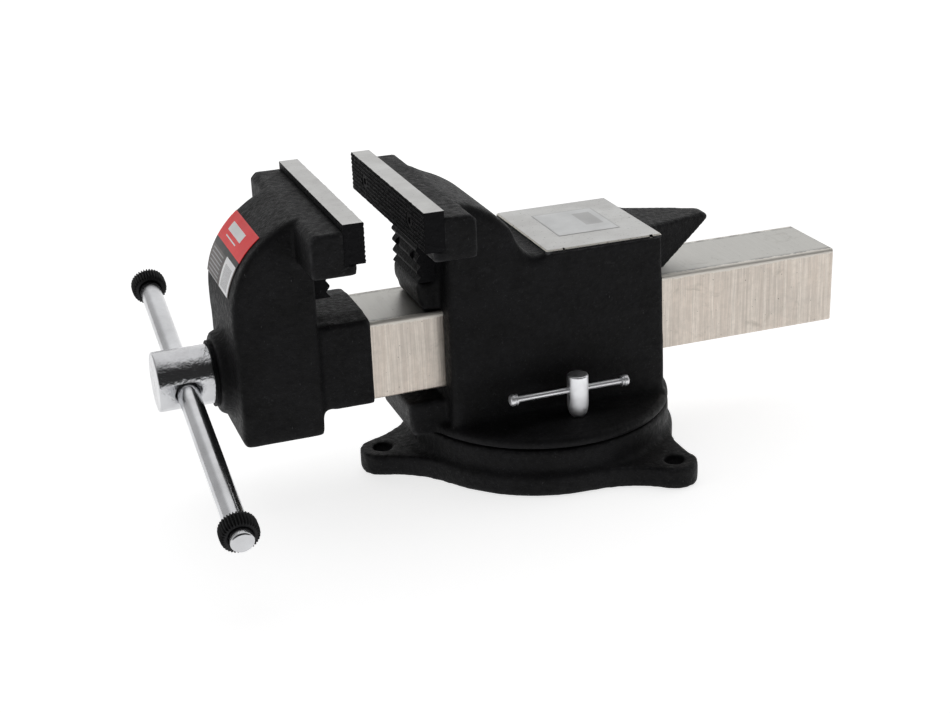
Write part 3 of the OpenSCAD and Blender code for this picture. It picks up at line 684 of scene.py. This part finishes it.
# ---------------------------------------------------------------------------
# Jaw plates
# ---------------------------------------------------------------------------
def jaw_plate(node, body, facing):
    """A plate whose face is cut into small pyramids; facing is the x direction it clamps."""
    low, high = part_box(node)
    across = round((high.y - low.y) / MM / TOOTH_PITCH)
    up = round((high.z - low.z) / MM / TOOTH_PITCH)
    face_x = high.x if facing > 0 else low.x
    back_x = (low.x if facing > 0 else high.x) - facing * PLATE_TUCK * MM
    step_y, step_z = (high.y - low.y) / across, (high.z - low.z) / up
    bm = bmesh.new()

    def sunk(i, k, least, most):
        """x of a point of the face, sunk by an uneven depth."""
        chance = 0.5 + 0.5 * noise.noise(Vector((i * 1.37, k * 1.71, facing * 5.3)) * 1.9)
        return face_x - facing * (least + (most - least) * min(1.0, max(0.0, chance))) * MM

    def valley_point(i, k):
        x = sunk(i, k, 0.45 * TOOTH_DEPTH, 1.35 * TOOTH_DEPTH)
        return bm.verts.new((x, low.y + i * step_y, low.z + k * step_z))

    valley = [[valley_point(i, k) for k in range(up + 1)] for i in range(across + 1)]
    for i in range(across):
        for k in range(up):
            place = low.y + (i + 0.5) * step_y, low.z + (k + 0.5) * step_z
            peak = bm.verts.new((sunk(i + 0.5, k + 0.5, 0.0, 0.35 * TOOTH_DEPTH), *place))
            ring = [valley[i][k], valley[i + 1][k], valley[i + 1][k + 1], valley[i][k + 1]]
            for a, b in zip(ring, ring[1:] + ring[:1]):
                bm.faces.new((a, b, peak))
    border = ([valley[i][0] for i in range(across)] + [valley[across][k] for k in range(up)]
              + [valley[i][up] for i in range(across, 0, -1)] + [valley[0][k] for k in range(up, 0, -1)])
    back = [bm.verts.new((back_x, v.co.y, v.co.z)) for v in border]
    for a in range(len(border)):
        b = (a + 1) % len(border)
        bm.faces.new((border[a], border[b], back[b], back[a]))
    bm.faces.new(back)
    bmesh.ops.recalc_face_normals(bm, faces=bm.faces)
    mesh = bpy.data.meshes.new(node + "_cut")
    bm.to_mesh(mesh)
    bm.free()
    made = add_object(node + "_cut", mesh)
    inward = Vector((-facing, 0, 0))
    middle_z = (low.z + high.z) / 2
    for side in (-1, 1):
        mouth = Vector((face_x, side * PLATE_SCREW_PITCH / 2 * MM, middle_z)) - inward * MM
        cut(made, lathe("recess", rod_profile(RECESS_R, RECESS_DEPTH, SHARP, SHARP), mouth, inward, 48))
        drill = rod_profile(SCREW_HOLE_R, SCREW_HOLE_DEPTH, SHARP, SHARP)
        cut(made, lathe("hole", drill, mouth, inward, 32))
    made.data.materials.clear()
    made.data.materials.append(BLACK_PLATE)
    made.data.materials.append(GROUND_TOP)
    for polygon in made.data.polygons:
        top = polygon.normal.z > 0.9 and polygon.center.z > high.z - 0.2 * MM
        polygon.material_index = 1 if top else 0
    return finish_piece(made, body, "plate_steel", node)


# ---------------------------------------------------------------------------
# Label on the shoulder and film on the anvil
# ---------------------------------------------------------------------------
def shoulder_point(face, angle, y):
    """A point just over the shoulder behind a jaw face, angle degrees above its axis."""
    over = max(0.0, abs(y) - (COLUMN_HALF - COLUMN_EDGE))
    drop = COLUMN_EDGE - math.sqrt(max(0.0, COLUMN_EDGE ** 2 - over ** 2))
    r = (SHOULDER_R + LABEL_LIFT - drop) * MM
    a = math.radians(angle)
    centre = face - SHOULDER_BACK * MM
    return Vector((centre - r * math.cos(a), y * MM, SHOULDER_Z * MM + r * math.sin(a)))


def label_colour(i, k):
    """Which film shows at cell i (near to far) and k (low to high) of the label."""
    red, white, grey, pale, dark = range(5)
    u, v = (i + 0.5) / LABEL_CELLS[0], (k + 0.5) / LABEL_CELLS[1]
    if v > 0.54:
        panel = 0.30 < u < 0.82 and 0.72 < v < 0.88
        line = 0.36 < u < 0.76 and 0.64 < v < 0.67
        return white if panel or line else red
    if 0.04 < u < 0.42 and v < 0.46:
        stripes = 0.09 < u < 0.37 and 0.05 < v < 0.38 and i % 2 == 0
        return pale if stripes else white
    if v > 0.44:
        return dark
    rows = k % 3 == 0 and 0.50 < u < 0.94
    return pale if rows else grey


def shoulder_label():
    """Printed label: a red field above a grey one, with plain pale areas and no lettering."""
    across, along = LABEL_CELLS
    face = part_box("moving_jaw_plate")[1].x
    points, faces, colours = [], [], []
    for k in range(along + 1):
        v = k / along
        ends = [low + (top - low) * v for low, top in zip(LABEL_LOW_Y, LABEL_TOP_Y)]
        for i in range(across + 1):
            y = ends[0] + (ends[1] - ends[0]) * i / across
            points.append(shoulder_point(face, LABEL_ANGLE + LABEL_SWEEP * v, y))
    for k in range(along):
        for i in range(across):
            a = k * (across + 1) + i
            faces.append((a, a + across + 1, a + across + 2, a + 1))
            colours.append(label_colour(i, k))
    made = add_object("shoulder_print", mesh_of("shoulder_print", points, faces), LABEL_RED,
                      LABEL_WHITE, LABEL_GREY, LABEL_PALE, LABEL_DARK)
    for polygon, colour in zip(made.data.polygons, colours):
        polygon.material_index = colour
        polygon.use_smooth = True
    thick = made.modifiers.new("thick", "SOLIDIFY")
    thick.thickness = LABEL_THICK * MM
    thick.offset = -1
    settle(made)
    return finish_piece(made, "moving_jaw", "label_print", "shoulder_label")


def anvil_film():
    """Thin worn film on the anvil with a plain pale block on it."""
    low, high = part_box("anvil_label")
    across, along = FILM_CELLS
    points, faces, shades = [], [], []
    for k in range(along + 1):
        for i in range(across + 1):
            x = low.x + (high.x - low.x) * i / across
            y = low.y + (high.y - low.y) * k / along
            points.append((x, y, high.z - FILM_TUCK * MM))
    for k in range(along):
        for i in range(across):
            a = k * (across + 1) + i
            faces.append((a, a + 1, a + across + 2, a + across + 1))
            u, v = (i + 0.5) / across, (k + 0.5) / along
            edge = min(u, v, 1 - u, 1 - v) < 0.016
            panel = 0.30 < v < 0.84 and 0.60 < u < 0.88
            shades.append(1 if edge or panel else 0)
    made = add_object("anvil_film", mesh_of("anvil_film", points, faces), FILM_CLEAR, FILM_DARK)
    for polygon, shade in zip(made.data.polygons, shades):
        polygon.material_index = shade
    thick = made.modifiers.new("thick", "SOLIDIFY")
    thick.thickness = FILM_THICK * MM
    thick.offset = -1
    settle(made)
    return finish_piece(made, "fixed_jaw", "label_clear", "anvil_label")


# ---------------------------------------------------------------------------
# Lead screw and handle
# ---------------------------------------------------------------------------
def middle_of(node):
    low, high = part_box(node)
    return (low + high) / 2


def handle_axis():
    """Direction of the handle's low end."""
    tilt = math.radians(HANDLE_TILT)
    return Vector((0, -math.cos(tilt), -math.sin(tilt)))


def screw_head():
    """Plated round head with a cross hole whose mouths are countersunk."""
    front = Vector((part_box("spindle")[0].x, 0, SCREW_Z * MM))
    made = lathe("screw_head", rod_profile(HEAD_D / 2, HEAD_L, 1.2, 0.5), front, (1, 0, 0), 128)
    middle, along = front + Vector((HEAD_L / 2 * MM, 0, 0)), handle_axis()
    hole = HANDLE_D / 2 + HEAD_HOLE_GAP
    mouth = hole + HEAD_FLARE
    reach = HEAD_D / 2 - HEAD_SINK + 0.6
    profile = [(0, -HEAD_D), (mouth, -HEAD_D), (mouth, -reach - HEAD_SINK), (hole, -reach),
               (hole, reach), (mouth, reach + HEAD_SINK), (mouth, HEAD_D), (0, HEAD_D)]
    cut(made, lathe("hole", profile, middle, along, 64))
    return finish_piece(painted(made, PLATED_HEAD), "lead_screw", "chrome_steel", "spindle")


def screw_thread():
    """Trapezoidal thread behind a plain journal."""
    low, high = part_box("spindle")
    start = low.x + HEAD_L * MM
    length = (high.x - start) / MM
    segments, step = 40, SCREW_LEAD / 10
    rows = int(length / step)
    points, faces = [], []
    for row in range(rows + 1):
        x = length * row / rows
        for i in range(segments):
            turn = i / segments
            phase = (x / SCREW_LEAD - turn) % 1.0
            groove = min(1.0, max(0.0, (abs(phase - 0.5) - 0.16) / 0.10))
            if x < SCREW_JOURNAL or x > length - 2:
                groove = 1.0
            r = (SCREW_D / 2 - THREAD_DEPTH * (1 - groove)) * MM
            a = 2 * math.pi * turn
            points.append((start + x * MM, r * math.cos(a), SCREW_Z * MM + r * math.sin(a)))
    for row in range(rows):
        for i in range(segments):
            j = (i + 1) % segments
            a, b = row * segments, (row + 1) * segments
            faces.append((a + j, a + i, b + i, b + j))
    faces.append(list(range(segments)))
    faces.append([rows * segments + i for i in reversed(range(segments))])
    made = add_object("screw_thread", mesh_of("screw_thread", points, faces))
    return finish_piece(painted(smooth_by_angle(made, 30), OILED), "lead_screw", "inner_steel")


def handle_rod():
    """Plated cross handle with turned ends."""
    middle, along = middle_of("handle_bar"), handle_axis()
    start = middle - along * HANDLE_L / 2 * MM
    profile = rod_profile(HANDLE_D / 2, HANDLE_L, HANDLE_ROUND, HANDLE_ROUND)
    made = lathe("handle_rod", profile, start, along, 96)
    return finish_piece(painted(made, PLATED_ROD), "handle", "chrome_steel", "handle_bar")


def rubber_ring(node):
    """Rubber ring with a rounded back that is moulded into ribs along the handle."""
    middle, along = middle_of(node), handle_axis()
    turn = along.to_track_quat("Z", "X").to_matrix()
    around, section = RING_RIBS * 8, 36
    bore = HANDLE_D / 2 + 0.02
    half = (RING_D / 2 - bore) / 2
    points, faces = [], []

    def swell(value, power):
        return math.copysign(abs(value) ** power, value)

    for i in range(around):
        a = 2 * math.pi * i / around
        valley = 0.5 - 0.5 * swell(math.cos(RING_RIBS * a), 0.6)
        for k in range(section):
            b = 2 * math.pi * k / section
            rib = RING_RIB_D * valley * min(1.0, 1.5 * max(0.0, swell(math.cos(b), 0.5)))
            r = (bore + half + half * swell(math.cos(b), 0.45) - rib) * MM
            h = RING_W / 2 * swell(math.sin(b), 0.6) * MM
            points.append(middle + turn @ Vector((r * math.cos(a), r * math.sin(a), h)))
    for i in range(around):
        for k in range(section):
            a, b = i * section, ((i + 1) % around) * section
            j = (k + 1) % section
            faces.append((a + k, b + k, b + j, a + j))
    made = add_object(node + "_ribbed", mesh_of(node + "_ribbed", points, faces))
    return finish_piece(painted(smooth_by_angle(made, 50), RUBBER), "handle", "ring_rubber", node)


# ---------------------------------------------------------------------------
# Lock bolts
# ---------------------------------------------------------------------------
def lock_bolt(side):
    """Plated bolt whose head narrows to a rounded foot, drilled for its cross bar."""
    node = "lock_bolt_" + side
    low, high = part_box(node)
    middle = (low + high) / 2
    foot = Vector((middle.x, middle.y, low.z))
    length, neck = (high.z - low.z) / MM, LOCK_FOOT - low.z / MM
    swell = LOCK_HEAD_D / 2 - LOCK_D / 2
    curve = []
    for step in range(FOOT_STEPS + 1):
        a = math.pi / 2 * step / FOOT_STEPS
        curve.append((LOCK_D / 2 + swell * math.sin(a), neck + LOCK_ROUND * (1 - math.cos(a))))
    profile = [(0, 0), (LOCK_D / 2, 0), (LOCK_D / 2, neck)] + curve
    profile += round_corner(LOCK_HEAD_D / 2, length, 1.2, 1) + [(0, length)]
    made = lathe(node + "_turned", profile, foot, (0, 0, 1), 64)
    bar = middle_of("lock_bar_" + side)
    start = Vector((middle.x - LOCK_HEAD_D * MM, bar.y, bar.z))
    drill = rod_profile(LOCK_BAR_D / 2 + RUN_GAP, 2 * LOCK_HEAD_D, SHARP, SHARP)
    cut(made, lathe("hole", drill, start, (1, 0, 0), 32))
    return finish_piece(painted(made, PLATED_LOCK), node, "chrome_steel", node)


def lock_bar(side):
    """Cross bar with its two pressed caps, each with a rounded outer end."""
    low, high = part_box("lock_bar_" + side)
    middle = (low + high) / 2
    start = Vector((low.x, middle.y, middle.z))
    made = lathe("lock_bar_%s_rod" % side,
                 rod_profile(LOCK_BAR_D / 2, (high.x - low.x) / MM, 0.3, 0.3), start, (1, 0, 0), 32)
    finish_piece(painted(made, PLATED_LOCK), "lock_bar_" + side, "chrome_steel", "lock_bar_" + side)
    low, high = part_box("lock_bar_caps_" + side)
    cap = LOCK_CAP_D / 2
    profile = [(0, 0)] + round_corner(cap, 0, 1.6, 0) + [(cap, LOCK_CAP_L * 0.62)]
    profile += [(cap * 0.86, LOCK_CAP_L * 0.70), (cap * 0.86, LOCK_CAP_L * 0.82),
                (cap * 0.97, LOCK_CAP_L * 0.88), (cap * 0.97, LOCK_CAP_L * 0.97),
                (cap * 0.90, LOCK_CAP_L), (0, LOCK_CAP_L)]
    for end, x, along in (("low", low.x, 1), ("high", high.x, -1)):
        made = lathe("lock_cap_%s_%s" % (side, end), profile, Vector((x, middle.y, middle.z)),
                     (along, 0, 0), 48)
        finish_piece(painted(made, PLATED_LOCK), "lock_bar_" + side, "chrome_steel",
                     "lock_bar_caps_" + side)


# ---------------------------------------------------------------------------
# Floor, light and camera
# ---------------------------------------------------------------------------
def floor():
    """A wide pale floor that sinks into white."""
    p = Paint("floor_white", (0.60, 0.60, 0.60), 0.9, spec=0.0)
    p.shader.inputs["Emission Color"].default_value = (1.0, 1.0, 1.0, 1.0)
    p.shader.inputs["Emission Strength"].default_value = FLOOR_GLOW
    corners = [(x * FLOOR_REACH, y * FLOOR_REACH, 0) for x, y in ((-1, -1), (1, -1), (1, 1), (-1, 1))]
    made = add_object("floor", mesh_of("floor", corners, [(0, 1, 2, 3)]), p.mat)
    made.location.z = cad_box[0][2] - 0.2 * MM


def fall_off(tree, place, between, low, high):
    """Brightness that rises smoothly from low to high, while place goes between two values."""
    made = tree.nodes.new("ShaderNodeMapRange")
    made.interpolation_type = "SMOOTHSTEP"
    for name, value in (("From Min", between[0]), ("From Max", between[1]),
                        ("To Min", low), ("To Max", high)):
        made.inputs[name].default_value = value
    tree.links.new(place, made.inputs["Value"])
    return made.outputs["Result"]


def studio_light():
    """A bright sky behind and above the vise, weaker on the left, and a dark room in front."""
    world = bpy.data.worlds.new("studio")
    bpy.context.scene.world = world
    world.use_nodes = True
    tree = world.node_tree
    background = tree.nodes["Background"]
    background.inputs["Color"].default_value = (1.0, 1.0, 1.0, 1.0)
    coords = tree.nodes.new("ShaderNodeTexCoord")
    split = tree.nodes.new("ShaderNodeSeparateXYZ")
    tree.links.new(coords.outputs["Generated"], split.inputs["Vector"])
    front = fall_off(tree, split.outputs["Y"], FRONT_FALL, ROOM_DARK, SKY_BRIGHT)
    left = fall_off(tree, split.outputs["X"], LEFT_FALL, LEFT_SHARE, 1.0)
    both = tree.nodes.new("ShaderNodeMath")
    both.operation = "MULTIPLY"
    tree.links.new(front, both.inputs[0])
    tree.links.new(left, both.inputs[1])
    tree.links.new(both.outputs["Value"], background.inputs["Strength"])
    bpy.context.scene.view_settings.view_transform = "Standard"


def camera():
    """Camera at the reference viewing angle."""
    azimuth, elevation, roll = (math.radians(a) for a in CAMERA_ANGLES)
    back = Vector((math.sin(azimuth) * math.cos(elevation), -math.cos(azimuth) * math.cos(elevation),
                   math.sin(elevation)))
    right = Vector((math.cos(azimuth), math.sin(azimuth), 0))
    up = back.cross(right)
    x_axis = math.cos(roll) * right + math.sin(roll) * up
    y_axis = -math.sin(roll) * right + math.cos(roll) * up
    data = bpy.data.cameras.new("camera")
    data.lens = CAMERA_LENS
    data.sensor_width = 36.0
    data.clip_end = 100.0
    made = bpy.data.objects.new("camera", data)
    bpy.context.scene.collection.objects.link(made)
    place = Matrix((x_axis, y_axis, back)).transposed().to_4x4()
    place.translation = Vector(CAMERA_PLACE)
    made.matrix_world = place
    bpy.context.scene.camera = made


# ---------------------------------------------------------------------------
# The model
# ---------------------------------------------------------------------------
BLACK = black_casting()
BLACK_PLATE = black_plate()
GROUND = ground_steel()
GROUND_TOP = ground_top()
BARE_EDGE_AND_HIGHLIGHT = bare_edge_and_highlight()
PLATED_HEAD = plated("plated_head", 0.62, 0.19, 0.80)
PLATED_ROD = plated("plated_rod", 0.63, 0.20, 0.10)
PLATED_LOCK = plated("plated_lock", 0.96, 0.42, 0.12)
OILED = oiled_steel()
BRONZE = nut_bronze()
RUBBER = ring_rubber()
LABEL_RED = film("label_red", (0.98, 0.045, 0.050), (0.90, 0.030, 0.036))
LABEL_GREY = film("label_grey", (0.075, 0.065, 0.060), (0.13, 0.105, 0.10))
LABEL_WHITE = film("label_white", (0.92, 0.92, 0.93), (0.84, 0.84, 0.85))
LABEL_PALE = film("label_pale", (0.30, 0.30, 0.31), (0.36, 0.36, 0.37))
LABEL_DARK = film("label_dark", (0.015, 0.014, 0.014), (0.035, 0.028, 0.028))
FILM_CLEAR = film("film_clear", (0.50, 0.505, 0.505), (0.56, 0.565, 0.565), 0.34, 0.9)
FILM_DARK = film("film_dark", (0.40, 0.40, 0.40), (0.45, 0.45, 0.445), 0.36, 0.9)

camera()
floor()
studio_light()

casting("swivel_base", "base_casting", "base")
fixed = casting(
    "static_body", "fixed_casting", "fixed_jaw",
    crisp=[seat_of("static_jaw_plate", SEAT_MARGIN), block_of("static_jaw_plate", BLOCK_DEPTH)],
    soft=[FIXED_NECK, FIXED_LEDGE],
)
lower_anvil(fixed)
casting(
    "moving_body", "moving_casting", "moving_jaw",
    crisp=[seat_of("moving_jaw_plate", SEAT_MARGIN), block_of("moving_jaw_plate", -BLOCK_DEPTH)],
    soft=[COLUMN_FOOT, SCREW_BOSS, *both_sides(*SHOULDER_SIDE), *both_sides(*COLLAR_ROOT)],
)
anvil_face()
anvil_film()
jaw_plate("static_jaw_plate", "fixed_jaw", -1)
jaw_plate("moving_jaw_plate", "moving_jaw", 1)
shoulder_label()
screw_head()
screw_thread()
handle_rod()
for ring_node in ("handle_ring_far", "handle_ring_near"):
    rubber_ring(ring_node)
for lock_side in ("near", "far"):
    lock_bolt(lock_side)
    lock_bar(lock_side)

for node, paint in {
    "slide_bar": GROUND, "static_pipe_jaw": BLACK_PLATE, "moving_pipe_jaw": BLACK_PLATE,
    "static_plate_screws": BLACK_PLATE, "moving_plate_screws": BLACK_PLATE,
    "static_pipe_screws": BLACK_PLATE, "moving_pipe_screws": BLACK_PLATE,
    "spindle_nut": BRONZE, "spindle_nut_screw": OILED, "lock_nuts": OILED,
    "slide_bar_dowels": OILED, "thrust_washer": BLACK_PLATE, "retaining_washer": OILED,
    "retaining_pin": OILED,
}.items():
    painted(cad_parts[node], paint)
